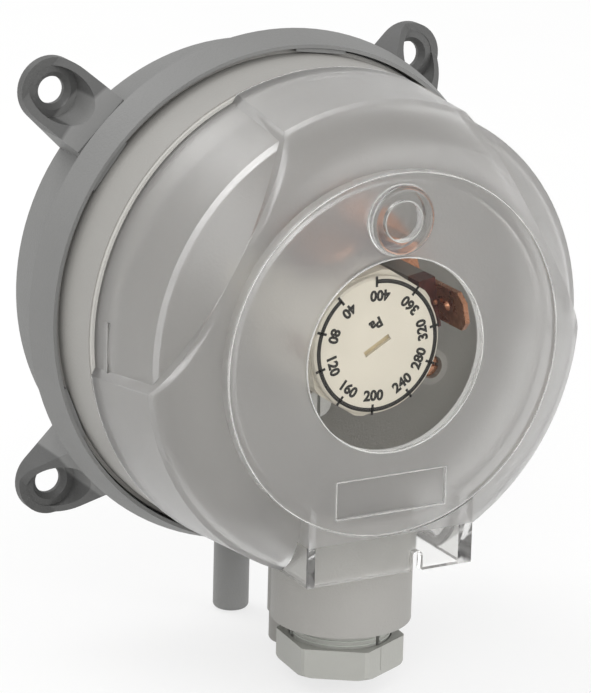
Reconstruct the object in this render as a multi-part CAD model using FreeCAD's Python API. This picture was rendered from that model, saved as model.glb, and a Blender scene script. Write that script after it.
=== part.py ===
import FreeCAD, Part
import math
import os
from FreeCAD import Vector

# Differential pressure switch for air ducts, hung on a wall by four lugs.
# +Z is up, the front looks along -Y, and +X is on the right of a viewer in front.
# The origin is the centre of the four screw holes, in the plane of the wall.
# A depth is a distance out of the wall, along -Y. All sizes are in millimetres.

# Base shell with its ring and lugs
base_floor = 2.2
base_barrel_radius = 38.0
base_chamber_radius = 33.0
seat_depth = 16.0
ring_radius = 42.5
ring_back_rise = 1.0
ring_edge_setback = 1.4
ring_lip = 4.2
ring_front_radius = 41.0
ring_bore_radius = 40.4
snap_count = 6
snap_first_angle = 22.0
snap_width = 9.0
snap_height = 1.0
snap_play = 0.2
snap_root = 0.3
snap_setback = 0.4
lug_pitch = 65.0
lug_count = 4
lug_first_angle = 45.0
lug_round = 5.5
lug_tip_height = 1.7
lug_root_height = 10.5
lug_well_radius = 4.2
lug_slope_start = 3.15
lug_floor = 1.6
wall_screw_radius = 2.25
countersink_radius = 3.1
countersink_height = 0.8
back_recess = 0.8
back_recess_radius = 31.0

# Hose ports
port_radius = 3.0
port_bore_radius = 1.5
port_tip_round = 0.8
port_end_height = -58.5
high_port_depth = 4.0
low_port_ring_gap = 0.1
low_port_end_height = -57.5
port_root_radius = 3.3
port_root_end = -52.2

# Upper housing
diaphragm_bead = 1.5
housing_radius = 39.4
housing_flange_radius = 40.0
housing_flange = 1.1
housing_bore_radius = 33.0
housing_height = 13.4
deck_setback = 0.4
deck_thickness = 2.0
neck_radius = 37.45
neck_wall = 1.55
neck_height = 3.6
guide_outer_radius = 4.5
guide_height = 2.0
seal_seat_height = 1.6
seal_seat_wall = 1.2
housing_rib_count = 12
housing_rib_width = 1.2
housing_rib_height = 1.4

# Cable collar and gland
gland_standoff = 11.6
collar_radius = 11.2
collar_bottom = -47.0
collar_top = -28.0
collar_bore_radius = 8.75
collar_shoulder = -37.0
cable_way_radius = 7.0
saddle_half_width = 5.0
saddle_top = -34.0
saddle_bottom = -44.0
web_thickness = 3.0
web_bottom = -52.0
web_nut_gap = 0.8
basket_radius = 7.9
basket_wall = 1.5
basket_bottom = -51.4
basket_slits = 3
basket_slit_width = 0.7
basket_first_slit = -71.0
basket_slit_top = -48.4
thread_fit = 0.05
gland_seal_bore = 3.5
gland_seal_height = 5.0
gland_seal_rise = 2.1
gland_throat_radius = 5.0
nut_top = -50.0
nut_bottom = -54.8
nut_flat_radius = 8.95
nut_corner_radius = 10.15
nut_turn = -94.4
nut_bore_radius = 8.2
nut_shoulder = -53.7
nut_mouth_radius = 5.4
nut_edge_round = 0.6
slip_ring_thickness = 0.6
slip_ring_bore = 5.8

# Diaphragm, plate and plunger
diaphragm_thickness = 0.6
convolution_inner = 27.0
convolution_outer = 32.0
convolution_height = 2.2
bead_outer_radius = 38.3
rivet_radius = 1.6
rivet_head_radius = 4.0
rivet_head_thickness = 0.8
plate_radius = 25.5
plate_thickness = 1.0
plate_hub_radius = 4.5
plate_hub_height = 3.5
plate_rib_count = 8
plate_rib_width = 1.0
plate_rib_height = 1.4
plunger_radius = 2.0
shaft_fit = 0.06
spring_seat_gap = 1.2
spring_seat_radius = 5.5
spring_seat_thickness = 1.0
spring_pilot_radius = 2.6
spring_pilot_height = 1.5

# Range spring, its nut and the setting dial
spring_mean_radius = 4.2
spring_wire = 0.8
spring_turns = 5
spring_length = 8.0
spring_nut_radius = 6.2
spring_nut_thickness = 2.2
spring_nut_ear_reach = 9.9
spring_nut_ear_width = 3.9
dial_stem_radius = 3.0
dial_stem_overreach = 2.7
dial_neck_radius = 4.0
dial_radius = 11.0
dial_thickness = 1.3
dial_edge_chamfer = 0.3
dial_slot_length = 5.0
dial_slot_width = 1.0
dial_slot_depth = 0.6
dial_slot_angle = 30.0
dial_gap = 0.2
circlip_thickness = 0.5
circlip_radius = 4.9
circlip_opening = 3.0

# Dial pedestal
pedestal_corner_radius = 12.0
pedestal_corner_turn = 80.0
pedestal_sides = 8
pedestal_wall = 1.9
pedestal_front = 1.2
pedestal_foot_radius = 14.6
pedestal_foot_thickness = 1.6
pedestal_foot_width = 6.0
pedestal_foot_angles = (150.0, 270.0)
foot_screw_hole = 1.3
foot_screw_head = 2.3
foot_screw_head_height = 1.4
lever_window_height = 7.6
lever_window_rise = 3.7
ear_slot_clearance = 0.15
ear_slot_margin = 0.4
spring_nut_travel = 2.5
spring_nut_stop_gap = 0.5

# Lever, contacts and terminals
lever_tip = 4.9
lever_pivot = 12.6
lever_end = 20.2
lever_thickness = 1.2
lever_width = 3.6
lever_gap = 0.1
lever_hub_radius = 1.7
lever_pin_radius = 0.75
bracket_thickness = 1.3
bracket_gap = 0.3
contact_radius = 1.1
contact_height = 0.8
contact_reach = 18.6
contact_gap = 0.7
terminal_thickness = 0.8
terminal_width = 6.3
terminal_angles = {"terminal_common": 112.0, "terminal_open": 74.0, "terminal_closed": 10.0}
terminal_blade = 8.0
terminal_hole_radius = 0.8
terminal_hole_setback = 5.2
terminal_rivet_setback = 1.6
terminal_foot_rise = 3.0
terminal_strip_width = 3.5
terminal_strip_overrun = 4.0
terminal_tip_chamfer = 1.5
carrier_pad_radius = 16.2
carrier_pad_height = 12.0
carrier_pad_length = 3.4
carrier_pad_width = 8.4
carrier_pad_thickness = 3.0
contact_strip = 0.8
lever_room = 0.3
lever_headroom = 1.1

# Post beside the dial
post_x = 15.8
post_z = -8.3
post_radius = 2.95
post_bore_radius = 1.9
post_height = 11.0
post_screw_radius = 1.8
post_screw_sink = 1.0
post_screw_length = 6.0

# Clear cover
cover_wall = 1.8
bulge_wall_out = 0.8
bulge_wall_front = 0.6
edge_wall_front = 0.5
rim_radius = 39.6
edge_radius = 38.3
edge_setback = 8.4
dome_top_radius = 28.9
dome_top_setback = 2.2
dome_bulge_radius = 34.9
dome_bulge_setback = 4.4
window_gap = 5.8
window_radius = 15.5
window_recess = 0.7
boss_height = 21.5
boss_radius = 5.6
boss_bore_radius = 3.2
boss_stand = 1.2
boss_bore_depth = 1.7
boss_round = 0.9
plate_half_width = 9.7
plate_top = -19.2
plate_bottom = -25.3
plate_sink = 0.8
hood_half_width = 14.6
hood_bottom = -35.5
hood_stand = 0.4
hood_top = -20.0
hood_slot_left = 3.9
hood_slot_width = 1.9
hood_slot_top = -33.2
grip_angles = (150.0, 30.0)
grip_offset = 31.2
grip_inset = 0.9
grip_chamfer_radius = 30.2
grip_chamfer_setback = 1.7
cover_seal_thickness = 0.6
cover_seal_width = 1.6
cover_hook_width = 8.0
cover_hook_reach = 0.45
cover_hook_height = 1.2
cover_hook_angles = (0.0, 180.0, 90.0)
hook_play = 0.15

# Sizes that follow from the ones above
shoulder_depth = seat_depth + housing_height
ring_front_depth = seat_depth + ring_lip
ring_edge_depth = seat_depth - ring_edge_setback
ring_back_depth = ring_edge_depth - ring_back_rise
deck_depth = shoulder_depth - deck_setback
deck_underside = deck_depth - deck_thickness
low_port_depth = ring_front_depth + low_port_ring_gap + port_root_radius
gland_depth = shoulder_depth + gland_standoff
post_top_depth = deck_depth + post_height
housing_depth = seat_depth + diaphragm_bead
flat_diaphragm_depth = housing_depth - diaphragm_thickness
plate_depth = housing_depth
spring_seat_depth = deck_depth + guide_height + spring_seat_gap
spring_back = spring_seat_depth + spring_seat_thickness
spring_nut_depth = spring_back + spring_length
spring_nut_front = spring_nut_depth + spring_nut_thickness
dial_stem_end = spring_nut_depth - dial_stem_overreach
circlip_depth = spring_nut_front + spring_nut_travel + spring_nut_stop_gap + circlip_thickness
pedestal_top = circlip_depth + dial_gap + pedestal_front
dial_back = pedestal_top + dial_gap
dial_face_depth = dial_back + dial_thickness
front_depth = dial_face_depth + window_gap
edge_depth = front_depth - edge_setback
dome_top_depth = front_depth - dome_top_setback
dome_bulge_depth = front_depth - dome_bulge_setback
hood_front_depth = front_depth + hood_stand
grip_chamfer_depth = front_depth - grip_chamfer_setback
rim_depth = shoulder_depth + cover_seal_thickness
neck_front = shoulder_depth + neck_height
pedestal_flat_radius = pedestal_corner_radius * math.cos(math.pi / pedestal_sides)
pedestal_bore = pedestal_flat_radius - pedestal_wall
lever_depth = spring_back + lever_gap
lever_middle = lever_depth + lever_thickness / 2
lever_window_top = lever_depth + lever_window_rise
closed_contact_depth = lever_depth + lever_thickness + contact_height + contact_gap
closed_strip_depth = closed_contact_depth + contact_height
carrier_front = deck_depth + carrier_pad_height
carrier_back = carrier_front - carrier_pad_length
front_axis = Vector(0, -1, 0)
origin = Vector(0, 0, 0)
far = 100.0
touch = 0.01


def at(x, depth, z):
    return Vector(x, -depth, z)


def block(x_low, x_high, depth_low, depth_high, z_low, z_high):
    corner = Vector(x_low, -depth_high, z_low)
    return Part.makeBox(x_high - x_low, depth_high - depth_low, z_high - z_low, corner)


def rod(radius, depth_low, depth_high, x=0.0, z=0.0):
    return Part.makeCylinder(radius, depth_high - depth_low, at(x, depth_low, z), front_axis)


def upright_rod(radius, z_low, z_high, depth, x=0.0):
    return Part.makeCylinder(radius, z_high - z_low, at(x, depth, z_low), Vector(0, 0, 1))


def turn_face(face):
    return face.revolve(origin, front_axis, 360)


def turned(outline):
    """A solid turned about the main axis from points of radius and depth."""
    points = [Vector(radius, -depth, 0) for radius, depth in outline]
    return turn_face(Part.Face(Part.makePolygon(points + [points[0]])))


def around(shape, angle):
    """The shape turned about the main axis, anticlockwise for a viewer in front."""
    copy = shape.copy()
    copy.rotate(origin, front_axis, angle)
    return copy


def ring_of(shape, count, start=0.0):
    return [around(shape, start + 360.0 * index / count) for index in range(count)]


def polar(radius, angle):
    return radius * math.cos(math.radians(angle)), radius * math.sin(math.radians(angle))


def wall_lug():
    """One lug towards +X: a rounded tongue that rises to the ring, with a screw well in it."""
    reach = lug_pitch / math.sqrt(2)
    root = base_barrel_radius - base_floor
    plan = rod(lug_round, 0, lug_root_height, reach, 0)
    plan = plan.fuse(block(root, reach, 0, lug_root_height, -lug_round, lug_round))
    side = [
        at(root, 0, -far),
        at(root, lug_root_height, -far),
        at(ring_radius - base_floor, lug_root_height, -far),
        at(reach + lug_slope_start, lug_tip_height, -far),
        at(reach + lug_round, lug_tip_height, -far),
        at(reach + lug_round, 0, -far),
    ]
    profile = Part.Face(Part.makePolygon(side + [side[0]])).extrude(Vector(0, 0, 2 * far))
    lug = plan.common(profile)
    lug = lug.cut(rod(lug_well_radius, lug_floor, lug_root_height, reach, 0))
    return lug


def lug_hole():
    reach = lug_pitch / math.sqrt(2)
    hole = rod(wall_screw_radius, -lug_floor, lug_floor, reach, 0)
    sink = Part.makeCone(wall_screw_radius, countersink_radius, countersink_height,
                         at(reach, lug_floor - countersink_height, 0), front_axis)
    return hole.fuse(sink)


def hose_port(depth, top, end):
    tube = upright_rod(port_radius, end, top, depth)
    rounded = [edge for edge in tube.Edges if abs(edge.CenterOfMass.z - end) < touch]
    return tube.makeFillet(port_tip_round, rounded)


def port_bore(depth, top):
    return upright_rod(port_bore_radius, port_end_height - port_radius, top, depth)


def base_shell():
    shell = turned([
        (0, 0),
        (base_barrel_radius, 0),
        (base_barrel_radius, ring_back_depth),
        (ring_radius - base_floor / 2, ring_back_depth),
        (ring_radius, ring_edge_depth),
        (ring_front_radius, ring_front_depth),
        (ring_bore_radius, ring_front_depth),
        (ring_bore_radius, seat_depth),
        (base_chamber_radius, seat_depth),
        (base_chamber_radius, base_floor + back_recess),
        (0, base_floor + back_recess),
    ])
    lugs = ring_of(wall_lug(), lug_count, lug_first_angle)
    shell = shell.fuse(lugs + [hose_port(high_port_depth, -base_chamber_radius, port_end_height)])
    snap_front = ring_front_depth - snap_setback
    snap = block(housing_radius + snap_play, ring_bore_radius + snap_root,
                 snap_front - snap_height, snap_front, -snap_width / 2, snap_width / 2)
    shell = shell.fuse(ring_of(snap, snap_count, snap_first_angle))
    cuts = ring_of(lug_hole(), lug_count, lug_first_angle)
    cuts.append(port_bore(high_port_depth, -base_chamber_radius + base_floor))
    cuts.append(rod(back_recess_radius, -far, back_recess))
    return shell.cut(cuts)


def outline_solid(edges):
    return turn_face(Part.Face(Part.Wire([edge.toShape() for edge in edges])))


def diaphragm():
    """Rubber membrane: a clamped bead, one rolled convolution and a flat middle."""
    middle = (convolution_inner + convolution_outer) / 2
    low = flat_diaphragm_depth
    high = housing_depth
    bead_inner = base_chamber_radius + shaft_fit
    outer_roll = convolution_outer - diaphragm_thickness
    inner_roll = convolution_inner + diaphragm_thickness
    corners = [
        at(inner_roll, high, 0), at(rivet_radius, high, 0),
        at(rivet_radius, low, 0), at(convolution_inner, low, 0),
    ]
    rim = [
        at(convolution_outer, low, 0), at(bead_inner, low, 0), at(bead_inner, seat_depth, 0),
        at(bead_outer_radius, seat_depth, 0), at(bead_outer_radius, high, 0), at(outer_roll, high, 0),
    ]
    edges = [Part.LineSegment(a, b) for a, b in zip(corners, corners[1:])]
    edges.append(Part.Arc(corners[-1], at(middle, low + convolution_height, 0), rim[0]))
    edges += [Part.LineSegment(a, b) for a, b in zip(rim, rim[1:])]
    edges.append(Part.Arc(rim[-1], at(middle, high + convolution_height, 0), corners[0]))
    return outline_solid(edges)


def diaphragm_plate():
    """Stiffening plate on the membrane, with a hub and ribs."""
    top = plate_depth + plate_thickness
    plate = turned([
        (plunger_radius + thread_fit, plate_depth),
        (plate_radius, plate_depth),
        (plate_radius, top),
        (plate_hub_radius, top),
        (plate_hub_radius, plate_depth + plate_hub_height),
        (plunger_radius + thread_fit, plate_depth + plate_hub_height),
    ])
    rib = block(plate_hub_radius - plate_rib_width / 2, plate_radius - plate_rib_width, plate_depth,
                top + plate_rib_height, -plate_rib_width / 2, plate_rib_width / 2)
    return plate.fuse(ring_of(rib, plate_rib_count))


def plunger():
    """Pin riveted through the membrane and the plate, with a spring seat and a pilot on its end."""
    return turned([
        (0, flat_diaphragm_depth - rivet_head_thickness),
        (rivet_head_radius, flat_diaphragm_depth - rivet_head_thickness),
        (rivet_head_radius, flat_diaphragm_depth),
        (rivet_radius, flat_diaphragm_depth),
        (rivet_radius, plate_depth),
        (plunger_radius, plate_depth),
        (plunger_radius, spring_seat_depth),
        (spring_seat_radius, spring_seat_depth),
        (spring_seat_radius, spring_back),
        (spring_pilot_radius, spring_back),
        (spring_pilot_radius, spring_back + spring_pilot_height),
        (0, spring_back + spring_pilot_height),
    ])


def plunger_seal():
    seat = guide_outer_radius - seal_seat_wall / 2
    return turned([
        (plunger_radius + shaft_fit, deck_underside - seal_seat_height),
        (seat, deck_underside - seal_seat_height),
        (seat, deck_underside),
        (plunger_radius + shaft_fit, deck_underside),
    ])


def collar():
    """Round collar for the cable gland, its saddle on the body and the web to the hose port."""
    solid = upright_rod(collar_radius, collar_bottom, collar_top, gland_depth)
    saddle = block(-saddle_half_width, saddle_half_width, deck_underside, gland_depth,
                   saddle_bottom, saddle_top)
    half = web_thickness / 2
    high_web = block(-half, half, low_port_depth, gland_depth - basket_radius, collar_bottom, saddle_bottom)
    low_web = block(-half, half, low_port_depth, gland_depth - nut_corner_radius - web_nut_gap, web_bottom,
                    saddle_bottom)
    return [solid, saddle, high_web, low_web]


def collar_bores():
    threaded = upright_rod(collar_bore_radius, collar_bottom - web_thickness, collar_shoulder, gland_depth)
    free_way = upright_rod(cable_way_radius, collar_shoulder, collar_top, gland_depth)
    return [threaded, free_way]


def upper_housing():
    """Light housing: the front chamber, the deck that carries the mechanism, collar and post."""
    seat = guide_outer_radius - seal_seat_wall / 2
    shell = turned([
        (housing_bore_radius, housing_depth),
        (housing_flange_radius, housing_depth),
        (housing_flange_radius, housing_depth + housing_flange),
        (housing_radius, housing_depth + housing_flange),
        (housing_radius, shoulder_depth),
        (neck_radius, shoulder_depth),
        (neck_radius, neck_front),
        (neck_radius - neck_wall, neck_front),
        (neck_radius - neck_wall, deck_depth),
        (guide_outer_radius, deck_depth),
        (guide_outer_radius, deck_depth + guide_height),
        (plunger_radius + shaft_fit, deck_depth + guide_height),
        (plunger_radius + shaft_fit, deck_underside),
        (seat, deck_underside),
        (seat, deck_underside - seal_seat_height),
        (seat + seal_seat_wall, deck_underside - seal_seat_height),
        (seat + seal_seat_wall, deck_underside),
        (housing_bore_radius, deck_underside),
    ])
    rib = block(housing_radius - neck_wall, housing_radius - neck_wall / 2 + housing_rib_height / 2,
                deck_depth - housing_rib_width, shoulder_depth,
                -housing_rib_width / 2, housing_rib_width / 2)
    port_top = -housing_bore_radius - web_thickness
    parts = collar()
    parts.append(hose_port(low_port_depth, port_top, low_port_end_height))
    parts.append(upright_rod(port_root_radius, port_root_end, port_top, low_port_depth))
    parts += ring_of(rib, housing_rib_count)
    parts.append(rod(post_radius, deck_depth - deck_thickness / 2, post_top_depth, post_x, post_z))
    for side in (-1, 1):
        z_low = side * (lever_width / 2 + bracket_gap + bracket_thickness / 2) - bracket_thickness / 2
        bracket = block(lever_pivot - lever_hub_radius, lever_pivot + lever_hub_radius,
                        deck_depth - deck_thickness / 2, lever_middle,
                        z_low, z_low + bracket_thickness)
        parts.append(bracket.fuse(upright_rod(lever_hub_radius, z_low, z_low + bracket_thickness,
                                              lever_middle, lever_pivot)))
    foot_depth = deck_depth - deck_thickness / 2
    parts += [terminal_block(angle, foot_depth, carrier_back) for angle in terminal_angles.values()]
    shell = shell.fuse(parts)
    cuts = collar_bores() + [port_bore(low_port_depth, -housing_bore_radius + web_thickness)]
    screw_end = post_top_depth - post_screw_length - post_screw_sink
    cuts.append(rod(post_bore_radius, screw_end, far, post_x, post_z))
    pin_reach = lever_width / 2 + bracket_gap + 2 * bracket_thickness
    cuts.append(upright_rod(lever_pin_radius + thread_fit, -pin_reach, pin_reach, lever_middle, lever_pivot))
    return shell.cut(cuts)


def post_screw():
    head_top = post_top_depth - post_screw_sink
    screw = rod(post_screw_radius, head_top - post_screw_length, head_top, post_x, post_z)
    slot = block(post_x - post_radius, post_x + post_radius, head_top - dial_slot_depth, head_top,
                 post_z - dial_slot_depth / 2, post_z + dial_slot_depth / 2)
    return screw.cut(slot)


def range_spring():
    """Coil spring between the plunger and the spring nut, of half turns that lean to and fro."""
    pitch = (spring_length - spring_wire) / spring_turns
    lean = math.atan(pitch / 4 / spring_mean_radius)
    coil = []
    for index in range(2 * spring_turns):
        side = 1 if index % 2 == 0 else -1
        start = spring_back + spring_wire / 2 + index * pitch / 2
        centre = at(side * spring_mean_radius, start, 0)
        section = Part.Wire([Part.makeCircle(spring_wire / 2 - thread_fit, centre, Vector(0, 0, 1))])
        axis = Vector(side * math.sin(lean), -math.cos(lean), 0)
        coil.append(Part.Face(section).revolve(at(0, start + pitch / 4, 0), axis, 180))
    return coil[0].fuse(coil[1:]).removeSplitter()


def spring_nut():
    """Nut that presses the spring: the dial's stem turns in it and its ears keep it from turning."""
    nut = rod(spring_nut_radius, spring_nut_depth, spring_nut_front)
    ears = block(-spring_nut_ear_reach, spring_nut_ear_reach, spring_nut_depth, spring_nut_front,
                 -spring_nut_ear_width / 2, spring_nut_ear_width / 2)
    return nut.fuse(ears).cut(rod(dial_stem_radius + shaft_fit, 0, far))


def setting_dial():
    """Dial disc with its neck, stem and a screwdriver slot in its face."""
    dial = turned([
        (0, dial_stem_end),
        (dial_stem_radius, dial_stem_end),
        (dial_stem_radius, circlip_depth),
        (dial_neck_radius, circlip_depth),
        (dial_neck_radius, dial_back),
        (dial_radius, dial_back),
        (dial_radius, dial_face_depth - dial_edge_chamfer),
        (dial_radius - dial_edge_chamfer, dial_face_depth),
        (0, dial_face_depth),
    ])
    slot = block(-dial_slot_length / 2, dial_slot_length / 2, dial_face_depth - dial_slot_depth,
                 dial_face_depth, -dial_slot_width / 2, dial_slot_width / 2)
    return dial.cut(around(slot, dial_slot_angle))


def dial_circlip():
    """Spring ring under the pedestal's front, which keeps the dial in its hole."""
    clip = rod(circlip_radius, circlip_depth - circlip_thickness, circlip_depth)
    clip = clip.cut(rod(dial_stem_radius + thread_fit, 0, far))
    gap = block(0, circlip_radius * 2, 0, far, -circlip_opening / 2, circlip_opening / 2)
    return clip.cut(around(gap, pedestal_corner_turn))


def dial_pedestal():
    """Hollow eight-sided tower on the deck, with a foot, slots for the nut and a lever window."""
    corners = []
    for index in range(pedestal_sides + 1):
        x, z = polar(pedestal_corner_radius, pedestal_corner_turn + 360.0 * index / pedestal_sides)
        corners.append(at(x, deck_depth, z))
    tower = Part.Face(Part.makePolygon(corners)).extrude(front_axis * (pedestal_top - deck_depth))
    tower = tower.common(rod(pedestal_corner_radius - dial_edge_chamfer, 0, far))
    feet = []
    holes = []
    for angle in pedestal_foot_angles:
        foot = block(0, pedestal_foot_radius, deck_depth, deck_depth + pedestal_foot_thickness,
                     -pedestal_foot_width / 2, pedestal_foot_width / 2)
        foot = foot.fuse(rod(pedestal_foot_width / 2, deck_depth, deck_depth + pedestal_foot_thickness,
                             pedestal_foot_radius))
        feet.append(around(foot, angle))
        holes.append(around(rod(foot_screw_hole, 0, far, pedestal_foot_radius), angle))
    solid = tower.fuse(feet)
    slot_half = spring_nut_ear_width / 2 + ear_slot_clearance
    nut_low = spring_nut_depth - ear_slot_margin
    nut_high = spring_nut_front + spring_nut_travel + ear_slot_margin
    cuts = [
        rod(pedestal_bore, 0, pedestal_top - pedestal_front),
        rod(dial_neck_radius + shaft_fit, 0, far),
        block(-far, far, nut_low, nut_high, -slot_half, slot_half),
        block(0, far, 0, lever_window_top, -lever_window_height / 2, lever_window_height / 2),
    ]
    return solid.cut(cuts + holes)


def pedestal_screws():
    screws = []
    for angle in pedestal_foot_angles:
        screws.append(around(foot_screw(), angle))
    return screws


def foot_screw():
    seat = deck_depth + pedestal_foot_thickness
    shank = rod(foot_screw_hole - thread_fit, deck_depth, seat, pedestal_foot_radius)
    head = rod(foot_screw_head, seat, seat + foot_screw_head_height, pedestal_foot_radius)
    slot = block(pedestal_foot_radius - foot_screw_head, pedestal_foot_radius + foot_screw_head,
                 seat + foot_screw_head_height / 2, seat + foot_screw_head_height,
                 -dial_slot_depth / 2, dial_slot_depth / 2)
    return shank.fuse(head).cut(slot)


def contact_lever():
    """Rocking lever: its tip lies on the plunger's seat and its far end carries the contacts."""
    half = lever_width / 2
    arm = block(lever_tip, lever_end, lever_depth, lever_depth + lever_thickness, -half, half)
    hub = upright_rod(lever_hub_radius, -half, half, lever_middle, lever_pivot)
    arm = arm.fuse(hub)
    stem_room = rod(spring_mean_radius + spring_wire, 0, far)
    holes = [
        stem_room,
        upright_rod(lever_pin_radius + shaft_fit, -far, far, lever_middle, lever_pivot),
        rod(contact_radius / 2 + thread_fit, 0, far, contact_reach),
    ]
    return arm.cut(holes)


def lever_pin():
    half = lever_width / 2 + bracket_gap + bracket_thickness
    return upright_rod(lever_pin_radius, -half, half, lever_middle, lever_pivot)


def moving_contact():
    """Double rivet through the lever, with a silver head on each side."""
    head_low = rod(contact_radius, lever_depth - contact_height, lever_depth, contact_reach)
    shank = rod(contact_radius / 2, lever_depth, lever_depth + lever_thickness, contact_reach)
    head_high = rod(contact_radius, lever_depth + lever_thickness,
                    lever_depth + lever_thickness + contact_height, contact_reach)
    return head_low.fuse([shank, head_high])


def fixed_contacts():
    """One silver stud on each fixed strip, either side of the moving contact."""
    back_top = lever_depth - contact_height - contact_gap
    back = rod(contact_radius, deck_depth + contact_strip, back_top, contact_reach)
    front = rod(contact_radius, closed_contact_depth, closed_strip_depth, contact_reach)
    return [back, front]


def blade_terminal(foot):
    """Flat blade from the foot's depth to a chamfered tip, with a wire hole and a rivet hole."""
    half = terminal_width / 2
    inner = carrier_pad_radius
    tip = carrier_front + terminal_blade
    chamfer = terminal_tip_chamfer
    corners = [
        at(inner, foot, -half),
        at(inner, tip - chamfer, -half),
        at(inner, tip, -half + chamfer),
        at(inner, tip, half - chamfer),
        at(inner, tip - chamfer, half),
        at(inner, foot, half),
    ]
    blade = Part.Face(Part.makePolygon(corners + [corners[0]])).extrude(Vector(terminal_thickness, 0, 0))
    holes = []
    for depth in (tip - terminal_hole_setback, carrier_front - terminal_rivet_setback):
        start = at(inner - terminal_thickness, depth, 0)
        holes.append(Part.makeCylinder(terminal_hole_radius, 3 * terminal_thickness, start, Vector(1, 0, 0)))
    return blade.cut(holes)


def ring_sector(inner, outer, depth_low, depth_high, start, end):
    ring = rod(outer, depth_low, depth_high).cut(rod(inner, 0, far))
    sweep = []
    steps = 4
    for index in range(steps + 1):
        x, z = polar(far, start + (end - start) * index / steps)
        sweep.append(at(x, depth_low, z))
    wedge = Part.Face(Part.makePolygon([at(0, depth_low, 0)] + sweep + [at(0, depth_low, 0)]))
    return ring.common(wedge.extrude(front_axis * (depth_high - depth_low)))


def terminal(name):
    angle = terminal_angles[name]
    if name == "terminal_open":
        outer = carrier_pad_radius + terminal_strip_width
        strip = ring_sector(carrier_pad_radius, outer, deck_depth, deck_depth + contact_strip,
                            -terminal_strip_overrun, angle)
        blocks = [terminal_block(place, deck_depth, carrier_back) for place in terminal_angles.values()]
        return around(blade_terminal(deck_depth), angle).fuse(strip.cut(blocks))
    if name == "terminal_closed":
        return around(blade_terminal(closed_strip_depth), angle).fuse(closed_strip())
    return around(blade_terminal(deck_depth + terminal_foot_rise), angle)


def closed_strip():
    """Strip from the closed terminal's tab to the front fixed contact."""
    tab_z = polar(carrier_pad_radius, terminal_angles["terminal_closed"])[1]
    return block(contact_reach - 2 * contact_radius, contact_reach + contact_radius, closed_strip_depth,
                 closed_strip_depth + contact_strip, -contact_radius, tab_z)


def terminal_block(angle, depth_low, depth_high):
    """Part of the block behind one terminal's blade, clear of the lever and of the closed strip."""
    half = carrier_pad_width / 2
    inner = carrier_pad_radius - carrier_pad_thickness
    solid = block(inner, carrier_pad_radius, depth_low, depth_high, -half, half)
    passage_top = lever_depth + lever_thickness + contact_height + lever_headroom
    bracket_edge = lever_width / 2 + bracket_gap + bracket_thickness
    lever_passage = block(0, far, 0, passage_top, -far, bracket_edge + lever_room)
    return around(solid, angle).cut([lever_passage, closed_strip()])


def gland_basket():
    """Threaded tube in the collar, slit at its end into fingers that grip the seal."""
    inner = basket_radius - basket_wall
    tube = upright_rod(basket_radius, basket_bottom, collar_bottom, gland_depth)
    tube = tube.fuse(upright_rod(collar_bore_radius - thread_fit, collar_bottom,
                                 collar_shoulder - thread_fit, gland_depth))
    cuts = [upright_rod(inner, basket_bottom - 1, basket_slit_top + gland_seal_rise, gland_depth)]
    cuts.append(upright_rod(gland_throat_radius, basket_bottom, collar_top, gland_depth))
    for index in range(basket_slits):
        slit = Part.makeBox(2 * basket_radius, basket_slit_width, basket_slit_top - basket_bottom,
                            Vector(0, -basket_slit_width / 2, basket_bottom))
        slit.rotate(origin, Vector(0, 0, 1), basket_first_slit + 360.0 * index / basket_slits)
        slit.translate(at(0, gland_depth, 0))
        cuts.append(slit)
    return tube.cut(cuts)


def gland_seal():
    top = basket_slit_top + gland_seal_rise
    ring = upright_rod(basket_radius - basket_wall - shaft_fit, top - gland_seal_height, top, gland_depth)
    return ring.cut(upright_rod(gland_seal_bore, top - 2 * gland_seal_height, top, gland_depth))


def slip_ring():
    top = nut_shoulder + slip_ring_thickness
    ring = upright_rod(basket_radius - basket_wall / 2, nut_shoulder, top, gland_depth)
    return ring.cut(upright_rod(slip_ring_bore, nut_bottom, top, gland_depth))


def gland_nut():
    """Cap nut with rounded flats, a wide threaded mouth above and a cable hole below."""
    corners = []
    for index in range(7):
        angle = math.radians(nut_turn + 60.0 * index)
        reach = nut_flat_radius / math.cos(math.pi / 6)
        corners.append(Vector(reach * math.cos(angle), reach * math.sin(angle) - gland_depth, nut_bottom))
    prism = Part.Face(Part.makePolygon(corners)).extrude(Vector(0, 0, nut_top - nut_bottom))
    body = upright_rod(nut_corner_radius, nut_bottom, nut_top, gland_depth)
    lower = [edge for edge in body.Edges if abs(edge.CenterOfMass.z - nut_bottom) < touch]
    body = body.makeFillet(nut_edge_round, lower)
    nut = prism.common(body)
    mouth = upright_rod(nut_bore_radius, nut_shoulder, nut_top, gland_depth)
    hole = Part.makeCone(nut_mouth_radius, nut_mouth_radius + nut_edge_round, nut_edge_round,
                         at(0, gland_depth, nut_bottom + nut_edge_round), Vector(0, 0, -1))
    passage = upright_rod(nut_mouth_radius, nut_bottom, nut_top, gland_depth)
    return nut.cut([mouth, hole, passage])


def cover_profile(inset):
    """The cover's turned outline, moved inwards by the inset, as the edges of one closed face."""
    rim = rim_radius - inset
    edge = edge_radius - inset
    dome_top = dome_top_depth - inset
    bulge = dome_bulge_depth - inset * bulge_wall_front
    bulge_radius = dome_bulge_radius - inset * bulge_wall_out
    step = dome_top_radius - inset
    start = rim_depth if inset == 0 else rim_depth - 1
    low_edge = edge_depth - inset * edge_wall_front
    path = [
        Part.LineSegment(at(0, start, 0), at(rim, start, 0)),
        Part.LineSegment(at(rim, start, 0), at(edge, low_edge, 0)),
        Part.Arc(at(edge, low_edge, 0), at(bulge_radius, bulge, 0), at(step, dome_top, 0)),
        Part.LineSegment(at(step, dome_top, 0), at(step, front_depth - inset, 0)),
        Part.LineSegment(at(step, front_depth - inset, 0), at(0, front_depth - inset, 0)),
        Part.LineSegment(at(0, front_depth - inset, 0), at(0, start, 0)),
    ]
    return outline_solid(path)


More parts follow.
